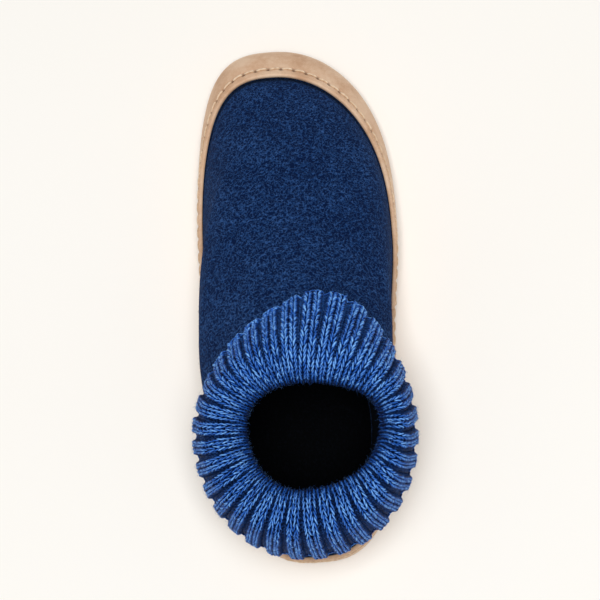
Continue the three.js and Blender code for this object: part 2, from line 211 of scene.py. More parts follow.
def foot_ring(height):
    """The felt's outer face at one height: heel end, lateral side, toe, medial side."""
    section = read(LAST, "height", height)
    heel, toe = section["heel"], section["toe"]
    lateral, medial = widest_on(section, 1), widest_on(section, -1)
    ends = ((heel, lateral, 1), (lateral, toe, 1), (toe, medial, -1), (medial, heel, -1))
    quarters = []
    for start, end, side in ends:
        station = quarter_stations(start, end, start == widest_on(section, side))
        line = np.column_stack([edge(section, station, side), station])
        quarters.append(respace(line, FOOT_QUARTER, BEND_WEIGHT))
    flat = np.concatenate(quarters)
    return np.column_stack([flat, np.full(len(flat), height)])


class Skin:
    """A face sampled at rows and turns; turns go once round and close on themselves."""

    def __init__(self, rows, points, outward):
        self.rows = rows
        self.points = points
        rise = np.gradient(points, rows, axis=0)
        around = np.roll(points, -1, axis=1) - np.roll(points, 1, axis=1)
        normals = np.cross(around, rise) * outward
        self.normals = normals / np.linalg.norm(normals, axis=2, keepdims=True)

    def at(self, row, turn, offset=0.0):
        """Points at rows and turns of the face, pushed out along its normals."""
        row, turn, offset = np.broadcast_arrays(row, turn, offset)
        last = len(self.rows) - 2
        r = np.interp(row, self.rows, np.arange(last + 2))
        c = (turn % 1.0) * self.points.shape[1]
        r0 = np.minimum(r.astype(int), last)
        c0 = c.astype(int) % self.points.shape[1]
        c1 = (c0 + 1) % self.points.shape[1]
        fr = (r - r0)[..., None]
        fc = (c - np.floor(c))[..., None]

        def blend(grid):
            low = grid[r0, c0] * (1 - fc) + grid[r0, c1] * fc
            high = grid[r0 + 1, c0] * (1 - fc) + grid[r0 + 1, c1] * fc
            return low * (1 - fr) + high * fr

        return blend(self.points) + offset[..., None] * blend(self.normals)


FOOT_ROW_COUNT = 121
FOOT_ROWS = np.linspace(0, COLLAR_HEIGHT, FOOT_ROW_COUNT)
foot = Skin(FOOT_ROWS, np.stack([foot_ring(height) for height in FOOT_ROWS]), 1)


def lift(points):
    """The toe spring and the arch at points whose y is still a station."""
    x, station, height = points[..., 0], points[..., 1], points[..., 2]
    toe = np.maximum(0, (station - SPRING_FROM) / (LENGTH - SPRING_FROM))
    heel, widest, medial = LAST["heel"][0], LAST["widest"][0], LAST["medial"][0]
    share = np.clip((widest - station) / (widest - heel), 0, 1)
    across = smoothstep(-x / medial, *ARCH_ACROSS)
    fade = np.maximum(0, 1 - height / ARCH_FADE)
    return TOE_SPRING * toe**2 + ARCH_LIFT * waist_swell(share) * across * fade


def placed(points):
    """Points of the shoe's own measures in the part's frame."""
    lifted = points.copy()
    lifted[..., 2] += lift(points)
    lifted[..., 1] -= LENGTH / 2
    return lifted


def on_foot(height, turn, offset):
    return placed(foot.at(height, turn, offset))


DRAPE_HALVINGS = 13


def draped_height(x, station):
    """The least height at which the cuff's middle surface clears the felt."""

    def inside(height):
        section = read(LAST, "height", height)
        within = (station > section["heel"]) & (station < section["toe"])
        section["medial"] = section["medial"] + DRAPE
        section["lateral"] = section["lateral"] + DRAPE
        return within & (x < edge(section, station, 1)) & (x > edge(section, station, -1))

    low = np.full(x.shape, DRAPE_LOW)
    high = np.full(x.shape, COLLAR_HEIGHT)
    hangs_free = ~inside(low)
    for _ in range(DRAPE_HALVINGS):
        middle = (low + high) / 2
        over = inside(middle)
        low = np.where(over, middle, low)
        high = np.where(over, high, middle)
    return np.where(hangs_free, 0, low + DRAPE)


CUFF_HALF = 300


def parted(lateral, medial, x):
    """Both halves of a ring, parted on the medial half of its front at a sideways place."""
    front = medial[medial[:, 1] > CUFF_WIDEST][::-1]
    joint = np.array([[x, np.interp(x, front[:, 0], front[:, 1])]])
    past = medial[:, 0] > x
    return np.concatenate([lateral, medial[past][1:], joint]), np.concatenate([joint, medial[~past]])


def cuff_ring(step):
    """A ring of the cuff's middle surface, evenly spaced along each half."""
    row = {name: float(value) for name, value in read(CUFF, "step", step).items()}
    halves = []
    for side, ends in ((1, ("back", "front")), (-1, ("front", "back"))):
        first = quarter_stations(row[ends[0]], CUFF_WIDEST, False)
        second = quarter_stations(CUFF_WIDEST, row[ends[1]], True)
        station = np.concatenate([first, second[1:]])
        ahead = station > CUFF_WIDEST
        reach = np.where(ahead, row["front"], row["back"]) - CUFF_WIDEST
        share = np.minimum(1, (station - CUFF_WIDEST) / reach)
        rounding = np.where(ahead, row["round_" + SIDES[side]], CUFF_ROUND_BACK)
        skew = np.where(ahead, row["skew"] * np.abs(share) ** SKEW_POWER, 0)
        x = side * row[SIDES[side]] * (1 - share**rounding) ** (1 / rounding) + skew
        halves.append(np.column_stack([x, station]))
    parts = parted(*halves, RIB_PARTING * row["skew"])
    flat = np.concatenate([respace(line, CUFF_HALF, 0) for line in parts])
    x, station = flat.T
    ahead = station > CUFF_WIDEST
    share = (station - CUFF_WIDEST) / (np.where(ahead, row["front"], row["back"]) - CUFF_WIDEST)
    end = np.where(ahead, row["front_height"], row["back_height"])
    height = row["side_height"] + (end - row["side_height"]) * share**2
    if step > DRAPE_FROM:
        height = np.maximum(height, draped_height(x, station))
    return np.column_stack([flat, height])


SMOOTHINGS = 6


def smoothed(heights):
    """A grid of heights with its sharp changes eased, in the first and last rows only round them."""
    for _ in range(SMOOTHINGS):
        around = (np.roll(heights, 1, axis=1) + 2 * heights + np.roll(heights, -1, axis=1)) / 4
        padded = np.concatenate([2 * around[:1] - around[1:2], around, 2 * around[-1:] - around[-2:-1]])
        heights = (padded[:-2] + 2 * padded[1:-1] + padded[2:]) / 4
    return heights


CUFF_ROW_COUNT = 141
CUFF_ROWS = np.linspace(0, LAST_STEP, CUFF_ROW_COUNT)
cuff_points = np.stack([cuff_ring(step) for step in CUFF_ROWS])
cuff_points[..., 2] = smoothed(cuff_points[..., 2])
cuff = Skin(CUFF_ROWS, cuff_points, -1)


def on_cuff(step, phase, offset):
    """Points of the cuff at a step of its fabric and a phase counted in ribs."""
    points = cuff.at(step, phase / RIBS, offset)
    points[..., 1] -= LENGTH / 2
    return points


def signed_volume(points, faces):
    total = 0.0
    for group in faces:
        first = points[group[:, 0]]
        for k in range(1, group.shape[1] - 1):
            cross = np.cross(points[group[:, k]], points[group[:, k + 1]])
            total += np.einsum("ij,ij->", first, cross)
    return total / 6


def add_object(name, data):
    made = bpy.data.objects.new(name, data)
    bpy.context.scene.collection.objects.link(made)
    return made


def make_piece(name, points, faces, finish, tone=None, uv=None):
    """A smooth mesh that rides on the part, from points in millimetres and groups of faces."""
    if signed_volume(points, faces) < 0:
        faces = [group[:, ::-1] for group in faces]
    mesh = bpy.data.meshes.new(name)
    mesh.from_pydata(points * MM, [], [face for group in faces for face in group.tolist()])
    mesh.shade_smooth()
    if tone is not None:
        layer = mesh.attributes.new("tone", "FLOAT", "POINT")
        layer.data.foreach_set("value", tone.astype(np.float32).ravel())
    if uv is not None:
        corners = np.concatenate([group.ravel() for group in faces])
        layer = mesh.uv_layers.new(name="strand")
        layer.data.foreach_set("uv", uv[corners].astype(np.float32).ravel())
    mesh.materials.append(finish.material)
    piece = add_object(name, mesh)
    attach(piece, "root")
    return piece


def loft(loops, closed):
    """Points and faces swept through loops of equally many points, closed on itself or capped."""
    count, size = loops.shape[:2]
    index = np.arange(count * size).reshape(count, size)
    here = index if closed else index[:-1]
    after = np.roll(index, -1, axis=0) if closed else index[1:]
    quads = np.stack([here, after, np.roll(after, -1, axis=1), np.roll(here, -1, axis=1)], axis=-1)
    faces = [quads.reshape(-1, 4)]
    if not closed:
        faces.append(np.stack([index[0], index[-1][::-1]]))
    return loops.reshape(-1, 3), faces


LEAST_LENGTH = 1e-9


def unit(vectors):
    return vectors / np.maximum(np.linalg.norm(vectors, axis=-1, keepdims=True), LEAST_LENGTH)


TUBE_SIDES = 6


def make_strands(name, place, row, turn, offset, radii, finish, tones):
    """Closed tubes along lines on a face, placed by its function, with their seams underneath."""
    lines = place(row, turn, offset)
    count, length = lines.shape[:2]
    tangent = unit(np.gradient(lines, axis=1))
    side = unit(np.cross(tangent, unit(place(row, turn, offset + 1) - lines)))
    up = np.cross(side, tangent)
    angle = 2 * np.pi * np.arange(TUBE_SIDES) / TUBE_SIDES - np.pi / 2
    ring = np.cos(angle)[:, None] * side[:, :, None] + np.sin(angle)[:, None] * up[:, :, None]
    points = (lines[:, :, None] + radii[:, :, None, None] * ring).reshape(-1, 3)
    index = np.arange(len(points)).reshape(count, length, TUBE_SIDES)
    here, after = index[:, :-1], index[:, 1:]
    quads = np.stack([here, np.roll(here, -1, axis=2), np.roll(after, -1, axis=2), after], axis=-1)
    faces = [quads.reshape(-1, 4), np.concatenate([index[:, 0, ::-1], index[:, -1]])]
    along = np.broadcast_to(np.arange(length)[None, :, None] / (length - 1), index.shape)
    around = np.broadcast_to(np.arange(TUBE_SIDES) / TUBE_SIDES, index.shape)
    uv = np.stack([around, along], axis=-1).reshape(-1, 2)
    tone = np.repeat(tones, length * TUBE_SIDES)
    make_piece(name, points, faces, finish, tone=tone, uv=uv)


HAIR_SIDES = 3
HAIR_POINTS = 2 * HAIR_SIDES + 1
HAIR_TAPER = 0.8


def make_hairs(name, place, row, turn, offset, habit, finish, draw):
    """Loose wool ends on a face, placed by its function: three-sided spikes, bent at the middle."""
    count = len(row)
    roots = place(row, turn, offset - habit["sink"])
    normal = unit(place(row, turn, offset + 1) - place(row, turn, offset))
    flat = unit(np.cross(normal, draw.normal(size=(count, 3))))
    heading = unit(flat + draw.uniform(*habit["lean"], count)[:, None] * normal)
    bend = habit["bend"] * draw.normal(size=(count, 3)) - habit["droop"] * normal
    half = 0.5 * draw.uniform(*habit["length"], count)[:, None]
    radius = draw.uniform(*habit["radius"], count)[:, None, None]
    middle = roots + half * heading
    tip = middle + half * unit(heading + bend)
    side = unit(np.cross(heading, bend))
    up = np.cross(side, heading)
    angle = 2 * np.pi * np.arange(HAIR_SIDES) / HAIR_SIDES
    ring = np.cos(angle)[:, None] * side[:, None] + np.sin(angle)[:, None] * up[:, None]
    low = roots[:, None] + radius * ring
    high = middle[:, None] + HAIR_TAPER * radius * ring
    points = np.concatenate([low, high, tip[:, None]], axis=1).reshape(-1, 3)
    index = np.arange(len(points)).reshape(-1, HAIR_POINTS)
    low, high, end = index[:, :HAIR_SIDES], index[:, HAIR_SIDES:-1], index[:, -1:]
    quads = np.stack([low, np.roll(low, -1, axis=1), np.roll(high, -1, axis=1), high], axis=-1)
    ends = np.stack([high, np.roll(high, -1, axis=1), np.broadcast_to(end, high.shape)], axis=-1)
    faces = [quads.reshape(-1, 4), ends.reshape(-1, 3), low[:, ::-1]]
    make_piece(name, points, faces, finish)


# How screens show a linear colour.
SCREEN_FULL = 255
SCREEN_KNEE = 0.04045
SCREEN_SLOPE = 12.92
SCREEN_SHIFT = 0.055
SCREEN_POWER = 2.4


def colour(*screen):
    """A linear colour from the screen values that it should show."""
    share = np.array(screen) / SCREEN_FULL
    curve = ((share + SCREEN_SHIFT) / (1 + SCREEN_SHIFT)) ** SCREEN_POWER
    return (*np.where(share > SCREEN_KNEE, curve, share / SCREEN_SLOPE), 1.0)


WHITE = (SCREEN_FULL,) * 3
SHEEN_ROUGHNESS = 0.5
# The colour mix node's sockets: the factor and both colours, and the result.
MIX_INPUTS = (0, 6, 7)
MIX_RESULT = 2


class Finish:
    """A procedural material whose colour and bump come from noise in the part's own metres."""

    def __init__(self, name, roughness, specular, sheen=0.0, sheen_tint=WHITE):
        self.material = bpy.data.materials.new(name)
        self.material.use_nodes = True
        self.tree = self.material.node_tree
        self.shader = self.tree.nodes["Principled BSDF"]
        inputs = self.shader.inputs
        inputs["Roughness"].default_value = roughness
        inputs["Specular IOR Level"].default_value = specular
        inputs["Sheen Weight"].default_value = sheen
        inputs["Sheen Roughness"].default_value = SHEEN_ROUGHNESS
        inputs["Sheen Tint"].default_value = colour(*sheen_tint)
        self.place = self.node("ShaderNodeTexCoord").outputs["Object"]

    def node(self, kind, sockets=None, **settings):
        made = self.tree.nodes.new(kind)
        for name, value in settings.items():
            setattr(made, name, value)
        for name, value in (sockets or {}).items():
            if isinstance(value, bpy.types.NodeSocket):
                self.tree.links.new(value, made.inputs[name])
            else:
                made.inputs[name].default_value = value
        return made

    def noise(self, size, detail=2.0, rough=0.5):
        """Noise whose blots are about a size in millimetres."""
        sockets = {"Vector": self.place, "Scale": 1 / (size * MM), "Detail": detail, "Roughness": rough}
        return self.node("ShaderNodeTexNoise", sockets).outputs["Fac"]

    def ridge(self, size, width):
        """Thin curling lines about a size apart, 1 on a line and 0 beside it."""
        away = self.math("ABSOLUTE", self.math("SUBTRACT", self.noise(size, detail=1), 0.5), 0.0)
        return self.math("MAXIMUM", self.math("SUBTRACT", 1.0, self.math("DIVIDE", away, width)), 0.0)

    def math(self, operation, a, b):
        return self.node("ShaderNodeMath", {0: a, 1: b}, operation=operation).outputs[0]

    def blend(self, weights, values):
        """A weighted sum of values."""
        total = None
        for weight, value in zip(weights, values):
            scaled = self.math("MULTIPLY", value, weight)
            total = scaled if total is None else self.math("ADD", total, scaled)
        return total

    def attribute(self, name):
        return self.node("ShaderNodeAttribute", attribute_name=name).outputs["Fac"]

    def ramp(self, value, stops, tints):
        """A colour from a value, by stops along it and the screen colours that they show."""
        made = self.node("ShaderNodeValToRGB", {"Fac": value})
        elements = made.color_ramp.elements
        while len(elements) < len(stops):
            elements.new(0.5)
        for element, stop, tint in zip(elements, stops, tints):
            element.position = stop
            element.color = colour(*tint)
        return made.outputs["Color"]

    def mix(self, factor, a, b):
        """The colour a, changed by a factor to the colour b."""
        sockets = dict(zip(MIX_INPUTS, (factor, a, b)))
        return self.node("ShaderNodeMix", sockets, data_type="RGBA").outputs[MIX_RESULT]

    def paint(self, tint):
        self.tree.links.new(tint, self.shader.inputs["Base Color"])

    def bump(self, *layers):
        """Bumps laid on each other from (height value, depth in millimetres) pairs."""
        normal = None
        for height, depth in layers:
            sockets = {"Height": height, "Distance": depth * MM, "Strength": 1.0}
            if normal is not None:
                sockets["Normal"] = normal
            normal = self.node("ShaderNodeBump", sockets).outputs["Normal"]
        self.tree.links.new(normal, self.shader.inputs["Normal"])


# Boiled wool. The sizes and depths of the finishes are millimetres.
FELT_SHEEN = (110, 145, 210)
FLECK_SIZE = 1.0
CLOUD_SIZE = 22.0
CURL_SIZES = (1.8, 2.5)
CURL_WIDTH = 0.07
FELT_WEIGHTS = (0.6, 0.15, 0.25)
FELT_STOPS = (0.4, 0.53, 0.68)
FLECK_DEPTH = 0.5
CURL_DEPTH = 0.3
# Painted shade: the near-black that the felt is mixed to where its tone is 1.
SHADED = (2, 5, 12)


def felt_finish(name, tints, sheen):
    """A salt-and-pepper mat of curling fibres, with painted shade in seams and shadowed hollows, where
    the tone is 1.
    """
    made = Finish(name, roughness=0.95, specular=0.06, sheen=sheen, sheen_tint=FELT_SHEEN)
    fleck = made.noise(FLECK_SIZE, detail=3, rough=0.7)
    cloud = made.noise(CLOUD_SIZE)
    curl = made.math("MAXIMUM", *[made.ridge(size, CURL_WIDTH) for size in CURL_SIZES])
    wool = made.ramp(made.blend(FELT_WEIGHTS, (fleck, cloud, curl)), FELT_STOPS, tints)
    # Painted shade, mixed in by the tone attribute.
    made.paint(made.mix(made.attribute("tone"), wool, colour(*SHADED)))
    made.bump((fleck, FLECK_DEPTH), (curl, CURL_DEPTH))
    return made


# Heathered yarn, and the thread, which is twisted in the same way.
YARN_SHEEN = (150, 185, 240)
# Painted highlight: how narrow the painted light along the top of each strand is.
PAINTED_CROWN_POWER = 2.6
MOTTLE_SIZE = 1.3
# Weights of the painted highlight, the strand's tone and the mottling.
YARN_WEIGHTS = (0.5, 0.25, 0.45)
YARN_STOPS = (0.42, 0.68, 0.96)
PLIES = 2
PLY_TURNS = 1.1
PLY_DEPTH = 0.07
YARN_FLECK = 0.45
YARN_FLECK_DEPTH = 0.12


def yarn_finish(name, tints, specular):
    """Plies twisted together, each strand with its own tone, a painted highlight on top and painted
    shade at its sides.
    """
    made = Finish(name, roughness=0.55, specular=specular, sheen=0.05, sheen_tint=YARN_SHEEN)
    strand = made.node("ShaderNodeUVMap", uv_map="strand").outputs["UV"]
    around, along = made.node("ShaderNodeSeparateXYZ", {0: strand}).outputs[:2]
    # Painted highlight and shade: by its UV, each strand's top is painted lightest and its sides
    # darkest.
    away = made.math("ABSOLUTE", made.math("SUBTRACT", around, 0.5), 0.0)
    painted_crown_light = made.math("SUBTRACT", 1.0, made.math("MULTIPLY", away, 2.0))
    painted_crown_light = made.math("POWER", painted_crown_light, PAINTED_CROWN_POWER)
    mottle = made.noise(MOTTLE_SIZE, detail=3, rough=0.7)
    value = made.blend(YARN_WEIGHTS, (painted_crown_light, made.attribute("tone"), mottle))
    made.paint(made.ramp(value, YARN_STOPS, tints))
    turning = made.blend((1.0, PLY_TURNS), (around, along))
    wave = made.math("SINE", made.math("MULTIPLY", turning, 2 * PLIES * np.pi), 0.0)
    made.bump((wave, PLY_DEPTH), (made.noise(YARN_FLECK, detail=1), YARN_FLECK_DEPTH))
    return made


# Split leather.
SUEDE_SHEEN = (250, 225, 200)
GRAIN_SIZE = 0.7
GRAIN_WEIGHT = 0.4
GRAIN_DEPTH = 0.2
BRUSHED_SIZE = 2.6
BRUSHED_WEIGHT = 0.25
BRUSHED_DEPTH = 0.15
WARM_SIZE = 30.0
WARM_SHARE = 0.35
WARM = (214, 164, 126)
# Painted shade in the stitch holes: how far, and to what colour, the hide is darkened.
HOLE_SHADE = 0.95
HOLE_SHADE_TINT = (74, 44, 26)


def suede_finish(name, tints, fade, roughness, nap, patch):
    """A short nap that mottles the colour, soft patches, and painted shade in the stitch holes where
    the tone is 1.
    """
    made = Finish(name, roughness=roughness, specular=0.15, sheen=0.35, sheen_tint=SUEDE_SHEEN)
    grain = made.noise(GRAIN_SIZE, detail=3, rough=0.7)
    brushed = made.noise(BRUSHED_SIZE, rough=0.6)
    fine = GRAIN_WEIGHT * nap
    weights = (fine, BRUSHED_WEIGHT, 1 - BRUSHED_WEIGHT - fine)
    tone = made.blend(weights, (grain, brushed, made.noise(patch)))
    hide = made.ramp(tone, (0.5 - fade, 0.5, 0.5 + fade), tints)
    warm = made.math("MULTIPLY", made.noise(WARM_SIZE), WARM_SHARE)
    # Painted shade in the stitch holes, by the tone attribute.
    hole = made.math("MULTIPLY", made.attribute("tone"), HOLE_SHADE)
    made.paint(made.mix(hole, made.mix(warm, hide, colour(*WARM)), colour(*HOLE_SHADE_TINT)))
    made.bump((brushed, BRUSHED_DEPTH), (grain, GRAIN_DEPTH * nap))
    return made


# Every finish, with its dark, middle and light tints.
LEATHER_TINTS = ((194, 154, 123), (214, 180, 151), (229, 202, 176))
RAND_TINTS = ((192, 154, 123), (212, 178, 149), (228, 201, 175))
SOLE_TINTS = ((190, 155, 128), (211, 180, 152), (229, 203, 179))
SEAM_TINTS = ((112, 76, 50), (136, 98, 68), (160, 122, 90))
felt = felt_finish("felt", ((3, 22, 59), (15, 47, 94), (50, 85, 140)), sheen=0.14)
nap_finish = felt_finish("felt_nap", ((16, 40, 84), (36, 64, 112), (78, 106, 154)), sheen=0.05)
# Painted shade: the insole is tinted near black, as the inside of the shoe lies in shade.
insole_painted_shade = felt_finish("insole_felt", ((1, 2, 3), (2, 3, 6), (4, 6, 11)), sheen=0.0)
rand_leather = suede_finish("rand_leather", LEATHER_TINTS, fade=0.14, roughness=0.7, nap=0.5, patch=16)
rand_suede = suede_finish("rand_suede", RAND_TINTS, fade=0.14, roughness=0.9, nap=0.9, patch=16)
sole_suede = suede_finish("sole_suede", SOLE_TINTS, fade=0.08, roughness=0.95, nap=1.25, patch=36)
seam_suede = suede_finish("seam_suede", SEAM_TINTS, fade=0.1, roughness=0.95, nap=1.0, patch=12)
yarn = yarn_finish("knit_yarn", ((0, 18, 66), (20, 90, 190), (136, 196, 252)), specular=0.15)
# Painted shade: the valleys' purl yarn and the knit's ground are tinted darker than the yarn, for the
# shade between and under the strands.
valley_yarn_painted_shade = yarn_finish("knit_valley", ((0, 22, 60), (18, 58, 122), (56, 108, 182)), specular=0.1)
knit_base_painted_shade = felt_finish("knit_base_painted_shade", ((0, 16, 52), (5, 32, 82), (16, 56, 118)), sheen=0.0)
knit_wisp = felt_finish("knit_wisp", ((56, 98, 168), (92, 138, 208), (150, 190, 240)), sheen=0.05)
thread = yarn_finish("thread", ((196, 162, 128), (228, 200, 170), (246, 228, 204)), specular=0.35)


def rand_top(turn):
    station = foot.at(RAND_BELLY, turn)[..., 1]
    return read(RAND_TOP, "station", station)["height"]


# The upper, pressed in where the rand's edge is sewn over it, with slow undulations of the soft felt.
UPPER_COLUMNS = 360
OUTER_ROWS = 118
INNER_ROWS = 24
UPPER_LOW = SOLE + GAP
PRESS = 0.9
PRESS_WIDTH = 1.0
PUFF = 0.35
PUFF_AT = 5.0
PUFF_WIDTH = 4.0
UNDULATION = 0.3
# Lengths of the felt's slow waves for each radian: along x and y, but y and z for the climbing one.
CROSS_LENGTHS = (9.1, 12.3)
CROSS_PHASE = 1.1
CROSS_SHARE = 0.55
SWAY = 0.7
SWAY_LENGTH = 17.0
SLANT_LENGTHS = (15.7, 21.0)
SLANT_PHASE = 2.0
SLANT_SHARE = 0.45
CLIMB_LENGTHS = (30.0, 10.5)


def undulation(points):
    """Slow unevenness of a soft face, from -1 to 1: a swaying check and slanted, climbing waves."""
    x, y, z = points[..., 0], points[..., 1], points[..., 2]
    sway = SWAY * np.sin(y / SWAY_LENGTH)
    check = np.sin(x / CROSS_LENGTHS[0] + sway) * np.sin(y / CROSS_LENGTHS[1] + CROSS_PHASE)
    slant = np.sin(x / SLANT_LENGTHS[0] + y / SLANT_LENGTHS[1] + SLANT_PHASE)
    climb = np.cos(y / CLIMB_LENGTHS[0] + z / CLIMB_LENGTHS[1])
    return CROSS_SHARE * check + SLANT_SHARE * slant * climb


def felt_offset(height, turn):
    """How far the visual felt stands off the plain section."""
    over = height - rand_top(turn)
    pressed = -PRESS * bell(over, PRESS_WIDTH) + PUFF * bell(over - PUFF_AT, PUFF_WIDTH)
    free = smoothstep(over, 0, 2 * PUFF_AT)
    return pressed * (over > -PRESS_WIDTH) + UNDULATION * free * undulation(foot.at(height, turn))


def make_upper():
    turn = np.arange(UPPER_COLUMNS)[:, None] / UPPER_COLUMNS
    outer = np.linspace(UPPER_LOW, COLLAR_HEIGHT, OUTER_ROWS)[None, :]
    inner = np.linspace(COLLAR_HEIGHT, UPPER_LOW, INNER_ROWS)[None, :]
    face = on_foot(outer, turn, felt_offset(outer, turn))
    back = on_foot(inner, turn, -FELT)
    points, faces = loft(np.concatenate([face, back], axis=1), True)
    # Painted shade on the felt: a dark line in the crease along the rand's edge, and the whole inner
    # face dark.
    seam = bell(outer - rand_top(turn), PRESS_WIDTH)
    tone = np.concatenate([seam, np.ones(back.shape[:2])], axis=1)
    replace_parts(make_piece("upper_felt", points, faces, felt, tone=tone), "upper")


make_upper()

NAP_SEED = 11
NAP_HAIRS = 7000
NAP_HABIT = dict(
    sink=0.05, lean=(0.12, 0.6), bend=0.8, droop=0.3, length=(0.9, 2.2), radius=(0.03, 0.055)
)
NAP_ABOVE_RAND = 0.6
NAP_BELOW_COLLAR = 2.0
NAP_CROWDING = 1.4


def make_nap():
    """Loose wool ends lying on the felt, more of them low down."""
    draw = np.random.default_rng(NAP_SEED)
    turn = draw.random(NAP_HAIRS)
    top = rand_top(turn)
    reach = COLLAR_HEIGHT - NAP_BELOW_COLLAR - top
    height = top + NAP_ABOVE_RAND + reach * draw.random(NAP_HAIRS) ** NAP_CROWDING
    offset = felt_offset(height, turn)
    make_hairs("upper_nap", on_foot, height, turn, offset, NAP_HABIT, nap_finish, draw)


make_nap()

# The rand: two strips with rounded cut edges, a stitch row sunk below the upper edge, and its thread.
SEAM_DROP = 4.6
STITCH_PITCH = 6.6
STRIP_COLUMNS = 900
DROP_SAMPLES = 48
EDGE_ROUND = 0.8
LIP_ROUND = 1.2
GROOVE = 0.3
GROOVE_WIDTH = 0.9
HOLE = 0.9
HOLE_WIDTH = 0.95
EDGE_ROWS = 5
SEAM_ROWS = 16
SEAM_DROPS = (1.2, 6.6)
LOW_ROWS = 10
BACK_ROWS = 6
EDGE_FALLS = np.linspace(0, EDGE_ROUND, EDGE_ROWS)
FINE_DROPS = np.concatenate([EDGE_FALLS, np.linspace(*SEAM_DROPS, SEAM_ROWS)])
LOW_SHARES = np.linspace(0, 1, LOW_ROWS + 1)[1:]
BACK_SHARES = np.linspace(1, 0, BACK_ROWS)
JOINT_SAMPLES = 2001


def rand_falls(turn):
    """Heights down the rand's face at turns, and how far along the face each is from the upper edge."""
    top = rand_top(turn)[:, None]
    heights = top + (RAND_LIP - top) * np.linspace(0, 1, DROP_SAMPLES)
    line = on_foot(heights, turn[:, None], RAND_FACE)
    steps = np.linalg.norm(np.diff(line, axis=1), axis=2)
    return heights, np.concatenate([np.zeros((len(turn), 1)), np.cumsum(steps, axis=1)], axis=1)


def rand_points(turn, drop, offset):
    """Points of the rand at turns, with several distances below its upper edge for each."""
    heights, falls = rand_falls(turn)
    height = np.stack([np.interp(d, f, h) for d, f, h in zip(drop, falls, heights)])
    return on_foot(height, turn[:, None], offset)


def joint_turns():
    """The turns of the rand's two joints, lateral then medial."""
    turn = np.linspace(0, 1, JOINT_SAMPLES)
    station = foot.at(RAND_BELLY, turn)[:, 1]
    half = len(turn) // 2
    lateral = np.interp(JOINT_STATION, station[:half], turn[:half])
    medial = np.interp(JOINT_STATION, station[:half:-1], turn[:half:-1])
    return lateral, medial


def seam_reach(turn):
    """Distance along the stitch row from the first of a run of turns."""
    line = rand_points(turn, np.full((len(turn), 1), SEAM_DROP), RAND_FACE)[:, 0]
    return np.concatenate([[0], np.cumsum(np.linalg.norm(np.diff(line, axis=0), axis=1))])


def make_strip(name, start, end, finish, slot):
    """One strip of the rand between two turns, and the turns of the holes of its stitch row."""
    turn = np.linspace(start, end, STRIP_COLUMNS)
    reach = seam_reach(turn)
    stitches = int(reach[-1] / STITCH_PITCH)
    pitch = reach[-1] / stitches
    total = rand_falls(turn)[1][:, -1:]
    fine = np.broadcast_to(FINE_DROPS, (len(turn), len(FINE_DROPS)))
    drop = np.concatenate([fine, FINE_DROPS[-1] + (total - FINE_DROPS[-1]) * LOW_SHARES], axis=1)
    upper_edge = np.clip(1 - drop / EDGE_ROUND, 0, 1)
    lower_edge = np.clip(1 - (total - drop) / LIP_ROUND, 0, 1)
    rounded = EDGE_ROUND * (1 - np.sqrt(1 - upper_edge**2))
    rounded = rounded + LIP_ROUND * (1 - np.sqrt(1 - lower_edge**2))
    phase = reach[:, None] / pitch
    along = (phase - np.round(phase)) * pitch
    hole = bell(np.hypot(along, drop - SEAM_DROP), HOLE_WIDTH)
    groove = bell(drop - SEAM_DROP, GROOVE_WIDTH)
    face = rand_points(turn, drop, RAND_FACE - rounded - GROOVE * groove - HOLE * hole)
    back = rand_points(turn, total * BACK_SHARES, np.full((len(turn), len(BACK_SHARES)), RAND_INNER))
    points, faces = loft(np.concatenate([face, back], axis=1), False)
    # Painted shade: the tone marks the stitch holes, which the finish darkens.
    tone = np.concatenate([hole, np.zeros(back.shape[:2])], axis=1)
    strip = make_piece(name, points, faces, finish, tone=tone)
    return strip, np.interp(np.arange(stitches + 1) * pitch, reach, turn)


THREAD_RADIUS = 0.6
THREAD_POINTS = 9
THREAD_RISE = 0.4
THREAD_DIP = 0.9
DIP_POWER = 3
THREAD_SLANT = 0.35
THREAD_END = 0.11
SLANT_SPREAD = (0.4, 1.0)
THREAD_SPREAD = (0.9, 1.1)
THREAD_TONES = (0.3, 0.8)


def on_rand(drop, turn, offset):
    """Points of the rand at distances below its upper edge, one for each of many turns."""
    flat = rand_points(turn.ravel(), drop.reshape(-1, 1), offset.reshape(-1, 1))
    return flat.reshape(*turn.shape, 3)


def make_thread(name, holes, draw):
    """Thread laid from hole to hole along a stitch row."""
    share = np.linspace(THREAD_END, 1 - THREAD_END, THREAD_POINTS)
    turn = holes[:-1, None] + (holes[1:] - holes[:-1])[:, None] * share
    slant = THREAD_SLANT * draw.uniform(*SLANT_SPREAD, (len(turn), 1))
    drop = SEAM_DROP + slant * (1 - 2 * share)
    rise = THREAD_RISE - THREAD_DIP * np.abs(2 * share - 1) ** DIP_POWER
    offset = np.broadcast_to(RAND_FACE - GROOVE + rise, turn.shape)
    radius = THREAD_RADIUS * draw.uniform(*THREAD_SPREAD, (len(turn), 1)) * np.ones(THREAD_POINTS)
    tones = draw.uniform(*THREAD_TONES, len(turn))
    make_strands(name, on_rand, drop, turn, offset, radius, thread, tones)


WHIP_STITCHES = 4
WHIP_REACH = 2.3
WHIP_LOW = 5.5
WHIP_HIGH = 7.0
WHIP_SLANT = 1.1
WHIP_SPREAD = (0.85, 1.1)
WHIP_TONES = (0.5, 1.0)
SMALL_TURN = 0.001


